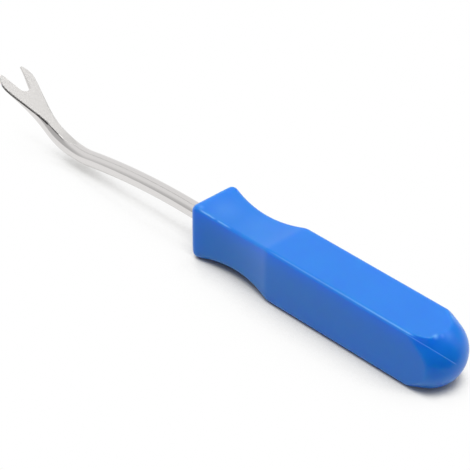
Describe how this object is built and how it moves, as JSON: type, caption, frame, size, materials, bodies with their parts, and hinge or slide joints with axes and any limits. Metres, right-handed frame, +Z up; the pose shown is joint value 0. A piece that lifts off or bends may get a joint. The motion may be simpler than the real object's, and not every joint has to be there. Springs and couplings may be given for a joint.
{
  "type": "trim removal tool",
  "caption": "Hand pry tool with a nearly square moulded grip, hollowed at its front, on a bent round steel shaft pressed to a notched fork that lifts trim clips.",
  "frame": {"origin": "middle of the flat that the grip lies on, halfway along the straight grip", "axes": "+X along the grip towards its domed butt, +Z up, so the fork points towards -X and curls up towards +Z"},
  "size_m": [0.2244, 0.0202, 0.0244],
  "materials": {
    "grip_plastic": "satin moulded plastic",
    "plated_steel": "bright plating, matt on the pressed face of the fork"
  },
  "bodies": {
    "root": {"handle": "grip_plastic", "forked_shaft": "plated_steel"}
  },
  "joints": []
}
